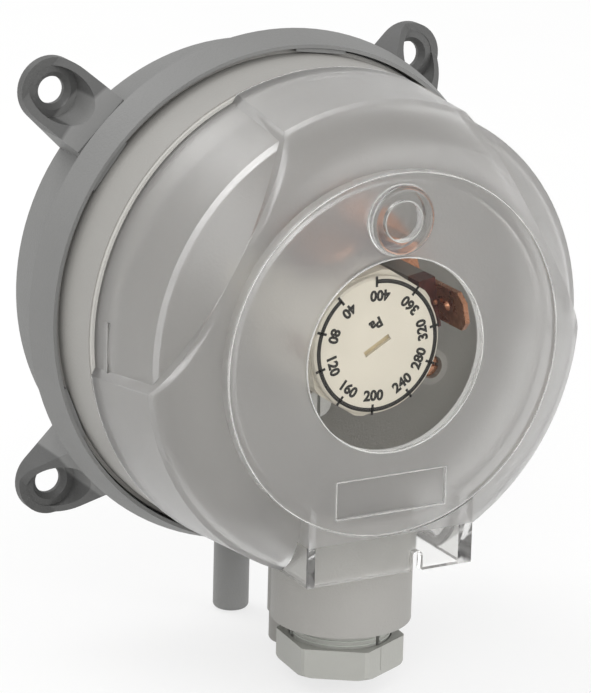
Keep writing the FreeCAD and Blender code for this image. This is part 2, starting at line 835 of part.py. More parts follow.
def hood(inset):
    """Square nose at the bottom of the cover, over the cable collar."""
    half = hood_half_width - inset
    low = hood_bottom if inset == 0 else hood_bottom - cover_wall
    start = rim_depth if inset == 0 else rim_depth - 1
    nose = block(-half, half, start, hood_front_depth - inset, low, hood_top)
    return nose.cut(rod(dome_top_radius - inset, front_depth - inset, far))


def grip_cutter(angle, inset):
    """What the finger grip takes away: outside a sunk skirt and a flat slope, past one chord."""
    sunk = grip_inset + inset
    start = neck_front + hook_play if inset else rim_depth
    rim = rim_radius - inset if inset else rim_radius - sunk
    ring = turned([
        (rim, start),
        (edge_radius - sunk, edge_depth - inset * edge_wall_front),
        (grip_chamfer_radius - inset * edge_wall_front, grip_chamfer_depth - inset * bulge_wall_out),
        (grip_chamfer_radius - inset * edge_wall_front, far),
        (far, far),
        (far, start),
    ])
    side = around(block(grip_offset - inset, far, 0, far, -far, far), angle)
    return ring.common(side)


def cover_body(inset):
    body = cover_profile(inset).fuse(hood(inset))
    return body.cut([grip_cutter(angle, inset) for angle in grip_angles])


def cover():
    """Clear push-on cover: one moulded shell with a flat front, window, boss, hood and grips."""
    outer = cover_body(0)
    below = block(-far, far, 0, far, -far, hood_bottom)
    outer = outer.cut(below)
    boss = rod(boss_radius, front_depth - cover_wall / 2, front_depth + boss_stand, 0, boss_height)
    crown = [edge for edge in boss.Edges if abs(edge.CenterOfMass.y + front_depth + boss_stand) < touch]
    boss = boss.makeFillet(boss_round, crown)
    back_boss = rod(boss_radius - boss_round, front_depth - cover_wall - boss_stand, front_depth,
                    0, boss_height)
    shell = outer.cut(cover_body(cover_wall)).fuse([boss, back_boss])
    slot_depth = hood_front_depth - cover_wall - 1
    cuts = [
        rod(window_radius, front_depth - window_recess, far),
        rod(boss_bore_radius, front_depth + boss_stand - boss_bore_depth, far, 0, boss_height),
        block(-plate_half_width, plate_half_width, front_depth - plate_sink, far, plate_bottom, plate_top),
        block(hood_slot_left, hood_slot_left + hood_slot_width, slot_depth, far,
              hood_bottom - 1, hood_slot_top),
        rod(hood_slot_width / 2, slot_depth, far, hood_slot_left + hood_slot_width / 2, hood_slot_top),
    ]
    shell = shell.cut(cuts)
    hooks = []
    for angle in cover_hook_angles:
        hook = block(neck_radius - cover_hook_reach + hook_play, rim_radius - cover_wall * bulge_wall_front,
                     neck_front + hook_play, neck_front + cover_hook_height,
                     -cover_hook_width / 2, cover_hook_width / 2)
        hooks.append(around(hook, angle))
    return shell.fuse(hooks)


def cover_seal():
    outer = neck_radius + hook_play + cover_seal_width
    ring = turned([
        (neck_radius + hook_play, shoulder_depth),
        (outer, shoulder_depth),
        (outer, rim_depth),
        (neck_radius + hook_play, rim_depth),
    ])
    return ring.cut(block(-hood_half_width, hood_half_width, 0, far, -far, 0))


def main():
    os.makedirs("parts", exist_ok=True)
    solids = {
        "base_shell": base_shell(),
        "diaphragm": diaphragm(),
        "diaphragm_plate": diaphragm_plate(),
        "plunger": plunger(),
        "plunger_seal": plunger_seal(),
        "upper_housing": upper_housing(),
        "post_screw": post_screw(),
        "range_spring": range_spring(),
        "spring_nut": spring_nut(),
        "setting_dial": setting_dial(),
        "dial_circlip": dial_circlip(),
        "dial_pedestal": dial_pedestal(),
        "pedestal_screws": Part.makeCompound(pedestal_screws()),
        "contact_lever": contact_lever(),
        "lever_pin": lever_pin(),
        "moving_contact": moving_contact(),
        "fixed_contacts": Part.makeCompound(fixed_contacts()),
        "gland_basket": gland_basket(),
        "gland_seal": gland_seal(),
        "slip_ring": slip_ring(),
        "gland_nut": gland_nut(),
        "cover": cover(),
        "cover_seal": cover_seal(),
    }
    for name, angle in terminal_angles.items():
        solids[name] = terminal(name)
        solids[name.replace("terminal", "carrier")] = terminal_block(angle, carrier_back, carrier_front)
    for name, shape in solids.items():
        shape.exportStep("parts/" + name + ".step")
        print(name, len(shape.Solids), round(shape.Volume, 1), shape.isValid())


main()
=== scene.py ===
import math

import bmesh
import bpy
from mathutils import Matrix, Vector


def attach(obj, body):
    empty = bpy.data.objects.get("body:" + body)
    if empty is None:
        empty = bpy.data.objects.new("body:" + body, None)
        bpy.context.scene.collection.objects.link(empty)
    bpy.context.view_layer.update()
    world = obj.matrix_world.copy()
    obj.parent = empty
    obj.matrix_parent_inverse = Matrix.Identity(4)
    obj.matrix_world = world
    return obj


# Differential pressure switch with a clear cover. Metres, +Z up, the front looks along -Y.

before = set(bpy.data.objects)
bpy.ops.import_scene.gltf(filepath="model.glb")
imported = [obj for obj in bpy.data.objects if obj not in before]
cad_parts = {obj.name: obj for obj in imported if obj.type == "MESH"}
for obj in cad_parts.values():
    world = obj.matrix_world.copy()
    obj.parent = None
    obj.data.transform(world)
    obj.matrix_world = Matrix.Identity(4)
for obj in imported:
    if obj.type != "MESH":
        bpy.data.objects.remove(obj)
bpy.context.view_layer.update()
scene = bpy.context.scene
mm = 0.001


# shader maths written as plain sums

class Wire:
    def __init__(self, finish, socket):
        self.finish = finish
        self.socket = socket

    def combine(self, operation, first, second):
        return self.finish.node("ShaderNodeMath", {"operation": operation}, {0: first, 1: second})

    def __add__(self, other):
        return self.combine("ADD", self, other)

    def __radd__(self, other):
        return self.combine("ADD", other, self)

    def __sub__(self, other):
        return self.combine("SUBTRACT", self, other)

    def __rsub__(self, other):
        return self.combine("SUBTRACT", other, self)

    def __mul__(self, other):
        return self.combine("MULTIPLY", self, other)

    def __rmul__(self, other):
        return self.combine("MULTIPLY", other, self)


class Finish:
    def __init__(self, name, world=None):
        self.material = world or bpy.data.materials.new(name)
        self.material.use_nodes = True
        self.tree = self.material.node_tree
        self.tree.nodes.clear()
        self.output = self.tree.nodes.new("ShaderNodeOutputWorld" if world else "ShaderNodeOutputMaterial")

    def node(self, kind, settings=None, sockets=None, out=0):
        made = self.tree.nodes.new(kind)
        for key, value in (settings or {}).items():
            if key == "stops":
                ramp = made.color_ramp
                while len(ramp.elements) < len(value):
                    ramp.elements.new(0.5)
                for element, (place, tone) in zip(ramp.elements, value):
                    element.position = place
                    element.color = (tone, tone, tone, 1)
            else:
                setattr(made, key, value)
        for key, value in (sockets or {}).items():
            if isinstance(value, Wire):
                self.tree.links.new(value.socket, made.inputs[key])
            else:
                made.inputs[key].default_value = value
        return Wire(self, made.outputs[out])

    def place(self):
        return self.node("ShaderNodeTexCoord", out="Object")

    def ray(self, kind):
        return self.node("ShaderNodeLightPath", out="Is " + kind + " Ray")

    def noise(self, scale, detail, roughness=0.5, place=None):
        return self.node("ShaderNodeTexNoise", None, {
            "Vector": place or self.place(), "Scale": scale, "Detail": detail, "Roughness": roughness})

    def ramp(self, value, *stops):
        return self.node("ShaderNodeValToRGB", {"stops": stops}, {0: value})

    def blend(self, mask, first, second):
        colours = {0: mask, 6: rgba(first), 7: rgba(second)}
        return self.node("ShaderNodeMix", {"data_type": "RGBA"}, colours, out=2)

    def maths(self, operation, *values):
        return self.node("ShaderNodeMath", {"operation": operation}, dict(enumerate(values)))

    def apart(self):
        # the place's x, y and z
        split = self.node("ShaderNodeSeparateXYZ", None, {0: self.place()})
        return [Wire(self, socket) for socket in split.socket.node.outputs]

    def disc(self, x, z, centre, radius, soft):
        # 1 within a round area of the front view, 0 outside it
        offX = x - centre[0]
        offZ = z - centre[1]
        far = self.maths("SQRT", offX * offX + offZ * offZ)
        return self.node("ShaderNodeMapRange", {"clamp": True}, {
            "Value": far, "From Min": radius - soft, "From Max": radius + soft,
            "To Min": 1.0, "To Max": 0.0})

    def bump(self, height, distance):
        return self.node("ShaderNodeBump", None, {"Height": height, "Distance": distance, "Strength": 1.0})

    def see(self, colour):
        return self.node("ShaderNodeBsdfTransparent", None, {0: rgba(colour)})

    def mix(self, factor, first, second):
        return self.node("ShaderNodeMixShader", None, {0: factor, 1: first, 2: second})

    def show(self, shader):
        self.tree.links.new(shader.socket, self.output.inputs["Surface"])
        return self.material

    def surface(self, sockets):
        return self.show(self.node("ShaderNodeBsdfPrincipled", None, sockets))


def rgba(colour):
    return colour if isinstance(colour, Wire) else (*colour[:3], 1)


def shade(colour, factor):
    return tuple(channel * factor for channel in colour)


plasticLook = {
    "edge": 0.2 * mm,           # width of the change between two tones
    "cloudStops": ((0.3, 0), (0.7, 1)),
    "grimeScale": 0.35,         # of the clouds' scale
    "grimeDetail": (6, 0.65),
    "grimeStops": ((0.52, 0), (0.75, 1)),
    "grimeShade": 0.55,
    "grainRoughness": 0.12,
    "grimeRoughness": 0.1,
    "index": 1.5,
}


def mouldedPlastic(name, look):
    # eroded grain of an injection mould, faint flow clouds and a little grime, and where a look asks for it,
    # painted shade and painted light by place
    finish = Finish(name)
    clouds = finish.ramp(finish.noise(look["cloudScale"], 4), *plasticLook["cloudStops"])
    grimeScale = look["cloudScale"] * plasticLook["grimeScale"]
    grime = finish.ramp(finish.noise(grimeScale, *plasticLook["grimeDetail"]), *plasticLook["grimeStops"])
    pale = shade(look["colour"], 1 + look["cloud"])
    deep = shade(look["colour"], 1 - look["cloud"])
    colour = finish.blend(clouds, deep, pale)
    colour = finish.blend(grime * look["grime"], colour, shade(look["colour"], plasticLook["grimeShade"]))
    if "outside" in look:
        # painted shade and painted light: beyond the ring, the lugs are painted darker, as if in shadow, and
        # the port is painted lighter, as if lit from the floor below
        outside = look["outside"]
        x, y, z = finish.apart()
        beyond = 1 - finish.disc(x, z, (0, 0), outside["radius"], plasticLook["edge"])
        middle = finish.maths("LESS_THAN", finish.maths("ABSOLUTE", x), outside["half"])
        colour = finish.blend(beyond * (1 - middle), colour, shade(look["colour"], outside["lugs"]))
        colour = finish.blend(beyond * middle, colour, shade(look["colour"], outside["port"]))
    if "deckShade" in look:
        # painted shade: the deck under the cover is painted darker than the rest, for the light that the
        # cover holds back
        deckShade = look["deckShade"]
        x, y, z = finish.apart()
        deck = finish.disc(x, z, (0, 0), deckShade["radius"], plasticLook["edge"])
        front = finish.maths("LESS_THAN", y, -deckShade["depth"])
        floor = finish.maths("GREATER_THAN", y, -deckShade["top"])
        above = finish.maths("GREATER_THAN", z, deckShade["bottom"])
        colour = finish.blend(deck * front * floor * above, colour, shade(look["colour"], deckShade["factor"]))
    grain = finish.noise(look["grainScale"], 2)
    worn = plasticLook["grainRoughness"] * (grain - 0.5) + plasticLook["grimeRoughness"] * grime
    return finish.surface({
        "Base Color": colour,
        "Roughness": look["roughness"] + worn,
        "Normal": finish.bump(grain, look["grainHeight"]),
        "IOR": plasticLook["index"],
    })


darkHousing = mouldedPlastic("darkHousingPlastic", {
    "colour": (0.188, 0.188, 0.184), "cloudScale": 60, "cloud": 0.05, "grime": 0.22,
    "grainScale": 2600, "grainHeight": 0.00006, "roughness": 0.52,
    # painted shade on the lugs and painted light on the port, beyond the ring
    "outside": {"radius": 43 * mm, "half": 8 * mm, "lugs": 0.45, "port": 1.25},
})
lightHousing = mouldedPlastic("lightHousingPlastic", {
    "colour": (0.305, 0.297, 0.280), "cloudScale": 55, "cloud": 0.04, "grime": 0.12,
    "grainScale": 2600, "grainHeight": 0.00005, "roughness": 0.5,
    # painted shade on the deck under the cover
    "deckShade": {
        "radius": 35.8 * mm, "depth": 28.5 * mm, "top": 38 * mm, "bottom": -27.5 * mm, "factor": 0.80,
    },
})
glandPlastic = mouldedPlastic("glandPlastic", {
    "colour": (0.350, 0.350, 0.325), "cloudScale": 120, "cloud": 0.03, "grime": 0.12,
    "grainScale": 3200, "grainHeight": 0.00003, "roughness": 0.38,
})
dialPlastic = mouldedPlastic("dialCream", {
    "colour": (0.73, 0.69, 0.61), "cloudScale": 140, "cloud": 0.03, "grime": 0.08,
    "grainScale": 4200, "grainHeight": 0.00003, "roughness": 0.5,
})
slotPlastic = mouldedPlastic("slotBeige", {
    "colour": (0.56, 0.47, 0.31), "cloudScale": 500, "cloud": 0.06, "grime": 0.2,
    "grainScale": 4200, "grainHeight": 0.00003, "roughness": 0.55,
})
naturalPlastic = mouldedPlastic("naturalAcetal", {
    "colour": (0.72, 0.71, 0.68), "cloudScale": 120, "cloud": 0.03, "grime": 0.05,
    "grainScale": 3200, "grainHeight": 0.00002, "roughness": 0.4,
})
siliconeRubber = mouldedPlastic("siliconeRubber", {
    "colour": (0.50, 0.49, 0.46), "cloudScale": 90, "cloud": 0.05, "grime": 0.1,
    "grainScale": 2400, "grainHeight": 0.00005, "roughness": 0.7,
})
darkRubber = mouldedPlastic("darkRubber", {
    "colour": (0.030, 0.030, 0.030), "cloudScale": 150, "cloud": 0.1, "grime": 0.0,
    "grainScale": 2400, "grainHeight": 0.00006, "roughness": 0.75,
})
threadPlastic = mouldedPlastic("threadPlastic", {
    "colour": (0.42, 0.44, 0.40), "cloudScale": 300, "cloud": 0.04, "grime": 0.1,
    "grainScale": 4200, "grainHeight": 0.00001, "roughness": 0.34,
})
# painted shadow: a dark brown for the shaded gap under the gland's collar
shadowPlastic = mouldedPlastic("shadowPlastic", {
    "colour": (0.075, 0.062, 0.050), "cloudScale": 300, "cloud": 0.2, "grime": 0.0,
    "grainScale": 4200, "grainHeight": 0.00001, "roughness": 0.7,
})
printInk = mouldedPlastic("printInk", {
    "colour": (0.010, 0.009, 0.008), "cloudScale": 900, "cloud": 0.25, "grime": 0.0,
    "grainScale": 5200, "grainHeight": 0.00001, "roughness": 0.45,
})


resinLook = {
    "speckScale": 1500,
    "speckStops": ((0.42, 0), (0.62, 1)),
    "speckColours": ((0.050, 0.010, 0.010), (0.105, 0.020, 0.018)),
    "cloudScale": 180,
    "cloudColour": (0.050, 0.010, 0.012),
    "cloud": 0.5,
    "roughness": 0.24,
    "cloudRoughness": 0.15,
    "coat": 0.35,
    "dentScale": 900,
    "dentHeight": 0.00004,
}


def phenolicResin():
    # maroon moulding compound with darker and lighter specks of filler
    look = resinLook
    finish = Finish("maroonPhenolic")
    specks = finish.ramp(finish.noise(look["speckScale"], 3), *look["speckStops"])
    clouds = finish.noise(look["cloudScale"], 4)
    colour = finish.blend(specks, *look["speckColours"])
    colour = finish.blend(clouds * look["cloud"], colour, look["cloudColour"])
    return finish.surface({
        "Base Color": colour,
        "Roughness": look["roughness"] + look["cloudRoughness"] * clouds,
        "Coat Weight": look["coat"],
        "Normal": finish.bump(finish.noise(look["dentScale"], 2), look["dentHeight"]),
    })


maroonResin = phenolicResin()


metalLook = {
    "lineDetail": (3, 0.6),
    "lineRoughness": 0.18,
    "tarnishDetail": (5, 0.6),
    "tarnishStops": ((0.4, 0), (0.72, 1)),
    "tarnishRoughness": 0.2,
    "tarnishDull": 0.35,
}


def rolledMetal(name, look):
    # rolling lines along one direction, tarnish clouds
    finish = Finish(name)
    stretched = finish.node("ShaderNodeMapping", None, {"Vector": finish.place(), "Scale": look["lines"]})
    lines = finish.noise(1.0, *metalLook["lineDetail"], stretched)
    tarnish = finish.noise(look["tarnishScale"], *metalLook["tarnishDetail"])
    tarnish = finish.ramp(tarnish, *metalLook["tarnishStops"]) * look["tarnish"]
    worn = metalLook["lineRoughness"] * (lines - 0.5) + metalLook["tarnishRoughness"] * tarnish
    return finish.surface({
        "Base Color": finish.blend(tarnish, look["colour"], look["tarnishColour"]),
        "Metallic": 1 - metalLook["tarnishDull"] * tarnish,
        "Roughness": look["roughness"] + worn,
        "Normal": finish.bump(lines, look["lineHeight"]),
    })


copperAlloy = rolledMetal("copperAlloy", {
    "colour": (0.62, 0.31, 0.19), "tarnishColour": (0.20, 0.075, 0.04), "tarnish": 0.85, "tarnishScale": 380,
    "lines": (4000, 300, 4000), "lineHeight": 0.00001, "roughness": 0.24,
})
zincSteel = rolledMetal("zincSteel", {
    "colour": (0.62, 0.62, 0.61), "tarnishColour": (0.30, 0.29, 0.27), "tarnish": 0.4, "tarnishScale": 500,
    "lines": (2600, 2600, 2600), "lineHeight": 0.00001, "roughness": 0.3,
})
contactSilver = rolledMetal("contactSilver", {
    "colour": (0.85, 0.84, 0.81), "tarnishColour": (0.35, 0.32, 0.28), "tarnish": 0.3, "tarnishScale": 900,
    "lines": (3000, 3000, 3000), "lineHeight": 0.000005, "roughness": 0.22,
})

clearLook = {
    "windowRadius": 15.5 * mm,
    "bossPlace": (0, 21.5 * mm),
    "bossRadius": 5.6 * mm,
    "bossPolish": 0.6,
    "hoodTop": -29.0 * mm,
    "hoodHalf": 14.7 * mm,
    "hoodPolish": 0.8,
    "frontDepth": 52 * mm,      # window and boss reach from here to the front
    "edge": 0.1 * mm,
    "colour": (0.80, 0.80, 0.79),
    "clearColour": (0.96, 0.96, 0.95),
    "index": 1.5,
    "specular": 0.3,
    "frosted": 0.30,            # roughness of the frosting and of the polish
    "polished": 0.03,
    "cloudScale": 70,
    "cloudRoughness": 0.08,
    "grainScale": 2200,
    "grainHeight": 0.00002,
    "haze": 0.125,
    "hazeColour": (0.62, 0.60, 0.585),
    "hazeRoughness": 0.45,
    "paneColour": (0.95, 0.945, 0.93),
    "paneGloss": 0.012,
    "shadow": 0.85,             # how much light passes, and its tint
    "passing": (0.70, 0.70, 0.69),
}


def polishOf(finish):
    # 1 where the mould is polished: the window, and in part the hood and the boss
    look = clearLook
    x, y, z = finish.apart()
    front = finish.maths("LESS_THAN", y, -look["frontDepth"])
    window = finish.disc(x, z, (0, 0), look["windowRadius"], look["edge"]) * front
    boss = finish.disc(x, z, look["bossPlace"], look["bossRadius"], look["edge"]) * front
    low = finish.maths("LESS_THAN", z, look["hoodTop"])
    narrow = finish.maths("LESS_THAN", finish.maths("ABSOLUTE", x), look["hoodHalf"])
    face = finish.maths("MAXIMUM", window, boss * look["bossPolish"])
    return window, finish.maths("MAXIMUM", face, low * narrow * look["hoodPolish"])


def clearPlastic():
    # a frosted wall that lets most light through, with a little white haze in it
    look = clearLook
    finish = Finish("clearCoverPlastic")
    window, polished = polishOf(finish)
    cloud = finish.noise(look["cloudScale"], 4, 0.6)
    grain = finish.noise(look["grainScale"], 2)
    frosting = look["frosted"] + look["cloudRoughness"] * (cloud - 0.5)
    wall = finish.node("ShaderNodeBsdfPrincipled", None, {
        "Base Color": finish.blend(polished, look["colour"], look["clearColour"]),
        "Roughness": frosting * (1 - polished) + look["polished"] * polished,
        "IOR": look["index"],
        "Specular IOR Level": look["specular"],
        "Transmission Weight": 1.0,
        "Normal": finish.bump(grain * (1 - polished), look["grainHeight"]),
    })
    gloss = finish.node("ShaderNodeBsdfAnisotropic", None, {"Roughness": look["polished"]})
    pane = finish.mix(look["paneGloss"], finish.see(look["paneColour"]), gloss)
    haze = finish.node("ShaderNodeBsdfPrincipled", None, {
        "Base Color": rgba(look["hazeColour"]),
        "Roughness": look["hazeRoughness"],
    })
    body = finish.mix((1 - polished) * look["haze"], finish.mix(window, wall, pane), haze)
    return finish.show(finish.mix(finish.ray("Shadow") * look["shadow"], body, finish.see(look["passing"])))


clearCover = clearPlastic()

# painted glints: lighter specks in the edge beads' colour
glintLook = {
    "scale": 260,
    "stops": ((0.35, 0), (0.65, 1)),
    "colours": ((0.70, 0.70, 0.68), (0.95, 0.95, 0.93)),
    "roughness": 0.12,
    "glintRoughness": 0.1,
    "clearness": 0.55,
}


def brightEdge():
    # painted highlight: whitish beads on the rounded edges of the clear moulding, with painted glints in
    # their colour; their gloss also catches real light
    look = glintLook
    finish = Finish("clearEdgeHighlight")
    glints = finish.ramp(finish.noise(look["scale"], 3), *look["stops"])
    return finish.surface({
        "Base Color": finish.blend(glints, *look["colours"]),
        "Roughness": look["roughness"] + look["glintRoughness"] * glints,
        "Transmission Weight": look["clearness"],
        "IOR": clearLook["index"],
    })


clearEdgeHighlight = brightEdge()
print("finishes made")


# CAD nodes keep their shape and get their finish

nodeFinish = {
    "base_shell": darkHousing,
    "upper_housing": lightHousing,
    "diaphragm": siliconeRubber,
    "diaphragm_plate": naturalPlastic,
    "plunger": naturalPlastic,
    "plunger_seal": darkRubber,
    "post_screw": copperAlloy,
    "range_spring": zincSteel,
    "spring_nut": copperAlloy,
    "setting_dial": dialPlastic,
    "dial_circlip": zincSteel,
    "dial_pedestal": dialPlastic,
    "pedestal_screws": zincSteel,
    "contact_lever": copperAlloy,
    "lever_pin": zincSteel,
    "moving_contact": contactSilver,
    "fixed_contacts": contactSilver,
    "carrier_common": maroonResin,
    "carrier_open": maroonResin,
    "carrier_closed": maroonResin,
    "terminal_common": copperAlloy,
    "terminal_open": copperAlloy,
    "terminal_closed": copperAlloy,
    "gland_basket": glandPlastic,
    "gland_seal": darkRubber,
    "slip_ring": naturalPlastic,
    "gland_nut": glandPlastic,
    "cover": clearCover,
    "cover_seal": siliconeRubber,
}
for name, finish in nodeFinish.items():
    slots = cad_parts[name].data.materials
    slots.clear()
    slots.append(finish)
print("finishes set on", len(nodeFinish), "nodes")


# Geometry Nodes: a short way to build a tree

class NodeTree:
    def __init__(self, name, inputs):
        self.tree = bpy.data.node_groups.new(name, "GeometryNodeTree")
        face = self.tree.interface
        self.sockets = {}
        for label, kind in inputs.items():
            self.sockets[label] = face.new_socket(label, in_out="INPUT", socket_type="NodeSocket" + kind)
        face.new_socket("Mesh", in_out="OUTPUT", socket_type="NodeSocketGeometry")
        self.start = self.tree.nodes.new("NodeGroupInput")
        self.end = self.tree.nodes.new("NodeGroupOutput")

    def value(self, label):
        return self.start.outputs[label]

    def node(self, kind, settings=None, sockets=None, out=0):
        made = self.tree.nodes.new(kind)
        for key, value in (settings or {}).items():
            setattr(made, key, value)
        for key, value in (sockets or {}).items():
            if isinstance(value, bpy.types.NodeSocket):
                self.tree.links.new(value, made.inputs[key])
            else:
                made.inputs[key].default_value = value
        return made.outputs[out]

    def maths(self, operation, *values):
        return self.node("ShaderNodeMath", {"operation": operation}, dict(enumerate(values)))

    def join(self, *parts):
        made = self.tree.nodes.new("GeometryNodeJoinGeometry")
        for part in reversed(parts):
            self.tree.links.new(part, made.inputs[0])
        return made.outputs[0]

    def mesh(self, name, geometry, finish, values, base=None):
        # the last nodes, then the tree's result as a plain mesh on an object of its own
        real = self.node("GeometryNodeRealizeInstances", None, {0: geometry})
        painted = self.node("GeometryNodeSetMaterial", None, {0: real, "Material": finish})
        self.tree.links.new(painted, self.end.inputs[0])
        piece = bpy.data.objects.new(name, base or bpy.data.meshes.new(name))
        scene.collection.objects.link(piece)
        modifier = piece.modifiers.new("build", "NODES")
        modifier.node_group = self.tree
        for label, value in values.items():
            modifier[self.sockets[label].identifier] = value
        bpy.context.view_layer.update()
        shown = piece.evaluated_get(bpy.context.evaluated_depsgraph_get())
        built = bpy.data.meshes.new_from_object(shown)
        piece.modifiers.remove(modifier)
        piece.data = built
        if not built.materials:
            built.materials.append(finish)
        return piece


def addPiece(name, mesh, body, finish):
    piece = bpy.data.objects.new(name, mesh)
    scene.collection.objects.link(piece)
    mesh.materials.clear()
    mesh.materials.append(finish)
    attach(piece, body)


def facing(radius, angle, depth):
    # a point on the front, by its distance from the main axis and its angle seen from the front
    turn = math.radians(angle)
    return Vector((radius * math.cos(turn), -depth, radius * math.sin(turn))) * mm


# dial scale, printed

scaleLook = {
    "face": 49.8,
    "arcRadius": 10.3,
    "arcWidth": 0.66,
    "arcSteps": 160,
    "marks": {
        400: 92.5, 360: 51, 320: 11, 280: -22, 240: -55,
        200: -93, 160: -128, 120: -164, 80: -197.5, 40: -230,
    },
    "numberShift": {400: -4, 360: -5},
    "tickReach": 1.7,
    "tickWidth": 0.42,
    "numberRadius": 8.1,
    "numberHeight": 2.3,
    "boldness": 0.105,
    "inkThickness": 0.03,
    "letterSteps": 4,
    "unit": "Pa",
    "unitPlace": (3.6, 96.0),
    "unitTurn": 208.0,
    "slotSize": (4.96, 0.96, 0.04),
    "slotFloor": 49.2,
    "slotTurn": 30.0,
}


def letterMesh(text):
    curve = bpy.data.curves.new("lettering", "FONT")
    curve.body = text
    curve.size = scaleLook["numberHeight"] * mm
    curve.align_x = "CENTER"
    curve.align_y = "CENTER"
    curve.offset = scaleLook["boldness"] * mm
    curve.extrude = scaleLook["inkThickness"] / 2 * mm
    curve.resolution_u = scaleLook["letterSteps"]
    holder = bpy.data.objects.new("lettering", curve)
    scene.collection.objects.link(holder)
    bpy.context.view_layer.update()
    shown = holder.evaluated_get(bpy.context.evaluated_depsgraph_get())
    mesh = bpy.data.meshes.new_from_object(shown)
    bpy.data.objects.remove(holder)
    return mesh


def standUp(radius, angle, turn, depth):
    # from a flat text in XY to a place on the dial: its top points along the turn's up
    upright = Matrix.Rotation(math.radians(90), 4, "X")
    spin = Matrix.Rotation(math.radians(-turn), 4, "Y")
    return Matrix.Translation(facing(radius, angle, depth)) @ spin @ upright


def printedScale():
    look = scaleLook
    depth = look["face"] + look["inkThickness"] / 2
    places = {}
    for value, tick in look["marks"].items():
        angle = tick + look["numberShift"].get(value, 0)
        places[str(value)] = standUp(look["numberRadius"], angle, angle + 90, depth)
    places[look["unit"]] = standUp(*look["unitPlace"], look["unitTurn"], depth)
    joined = bmesh.new()
    for text, place in places.items():
        mesh = letterMesh(text)
        mesh.transform(place)
        joined.from_mesh(mesh)
        bpy.data.meshes.remove(mesh)
    done = bpy.data.meshes.new("dialNumbers")
    joined.to_mesh(done)
    joined.free()
    addPiece("dialNumbers", done, "dial", printInk)


def scaleLines():
    # the arc, and one tick across it on each vertex of the marks' mesh
    tree = NodeTree("scaleLines", {"Marks": "Geometry", "Arc radius": "Float", "Arc width": "Float",
                                   "Tick reach": "Float", "Tick width": "Float", "Start": "Float",
                                   "Sweep": "Float", "Ink": "Float"})
    arc = tree.node("GeometryNodeCurveArc", {"mode": "RADIUS"}, {
        "Resolution": scaleLook["arcSteps"], "Radius": tree.value("Arc radius"),
        "Start Angle": tree.value("Start"), "Sweep Angle": tree.value("Sweep")})
    profile = tree.node("GeometryNodeCurvePrimitiveQuadrilateral", {"mode": "RECTANGLE"}, {
        0: tree.value("Arc width"), 1: tree.value("Ink")})
    band = tree.node("GeometryNodeCurveToMesh", None, {0: arc, 1: profile, "Fill Caps": True})
    place = tree.node("GeometryNodeInputPosition")
    across = tree.node("FunctionNodeAlignRotationToVector", {"axis": "X"}, {"Vector": place})
    size = tree.node("ShaderNodeCombineXYZ", None, {
        0: tree.value("Tick reach"), 1: tree.value("Tick width"), 2: tree.value("Ink")})
    tick = tree.node("GeometryNodeMeshCube", None, {"Size": size})
    ticks = tree.node("GeometryNodeInstanceOnPoints", None, {
        "Points": tree.value("Marks"), "Instance": tick, "Rotation": across})
    angles = [math.radians(angle) for angle in scaleLook["marks"].values()]
    radius = scaleLook["arcRadius"] * mm
    marks = bpy.data.meshes.new("scaleMarks")
    marks.from_pydata([(radius * math.cos(angle), radius * math.sin(angle), 0) for angle in angles], [], [])
    values = {
        "Arc radius": radius, "Arc width": scaleLook["arcWidth"] * mm,
        "Tick reach": scaleLook["tickReach"] * mm, "Tick width": scaleLook["tickWidth"] * mm,
        "Start": min(angles), "Sweep": max(angles) - min(angles), "Ink": scaleLook["inkThickness"] * mm,
    }
    piece = tree.mesh("dialScaleLines", tree.join(band, ticks), printInk, values, marks)
    piece.data.transform(standUp(0, 0, 0, scaleLook["face"] + scaleLook["inkThickness"] / 2))
    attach(piece, "dial")


def boxMesh(name, size, centre):
    shape = bmesh.new()
    place = Matrix.Translation(centre) @ Matrix.Diagonal((*size, 1))
    bmesh.ops.create_cube(shape, size=1, matrix=place)
    mesh = bpy.data.meshes.new(name)
    shape.to_mesh(mesh)
    shape.free()
    return mesh


def slotInlay():
    size = Vector(scaleLook["slotSize"]) * mm
    mesh = boxMesh("dialSlotFloor", size, Vector((0, 0, 0)))
    mesh.transform(standUp(0, 0, scaleLook["slotTurn"], scaleLook["slotFloor"]))
    addPiece("dialSlotFloor", mesh, "dial", slotPlastic)


printedScale()
scaleLines()
slotInlay()
print("dial printed")


# clear beads along the cover's edges; their whitish colour paints the bright highlight lines there

edgeLook = {
    "rings": {      # radius, depth, height and bead radius
        "windowEdge": (15.5, 55.58, 0.0, 0.13),
        "windowFoot": (15.4, 54.93, 0.0, 0.10),
        "discEdge": (28.8, 55.52, 0.0, 0.13),
        "bossMouth": (3.2, 56.66, 21.5, 0.12),
        "bossFoot": (5.62, 55.6, 21.5, 0.10),
    },
    "ringSteps": 160,
    "beadSteps": 8,
    "plateWidth": 19.4,
    "plateHeight": 6.1,
    "plateMiddle": -22.25,
    "plateDepth": 55.55,
    "plateBead": 0.11,
}


def beadAlong(tree, path):
    profile = tree.node("GeometryNodeCurvePrimitiveCircle", {"mode": "RADIUS"}, {
        "Resolution": edgeLook["beadSteps"], "Radius": tree.value("Bead")})
    bead = tree.node("GeometryNodeCurveToMesh", None, {0: path, 1: profile})
    return tree.node("GeometryNodeSetShadeSmooth", None, {0: bead})


def standOnCover(piece, depth, height):
    # from flat in XY to a place on the cover's front
    place = Vector((0, -depth, height)) * mm
    piece.data.transform(Matrix.Translation(place) @ Matrix.Rotation(math.radians(90), 4, "X"))
    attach(piece, "cover")


def coverEdges():
    tree = NodeTree("edgeBead", {"Radius": "Float", "Bead": "Float"})
    circle = tree.node("GeometryNodeCurvePrimitiveCircle", {"mode": "RADIUS"}, {
        "Resolution": edgeLook["ringSteps"], "Radius": tree.value("Radius")})
    bead = beadAlong(tree, circle)
    for name, (radius, depth, height, beadRadius) in edgeLook["rings"].items():
        piece = tree.mesh(name, bead, clearEdgeHighlight, {"Radius": radius * mm, "Bead": beadRadius * mm})
        standOnCover(piece, depth, height)


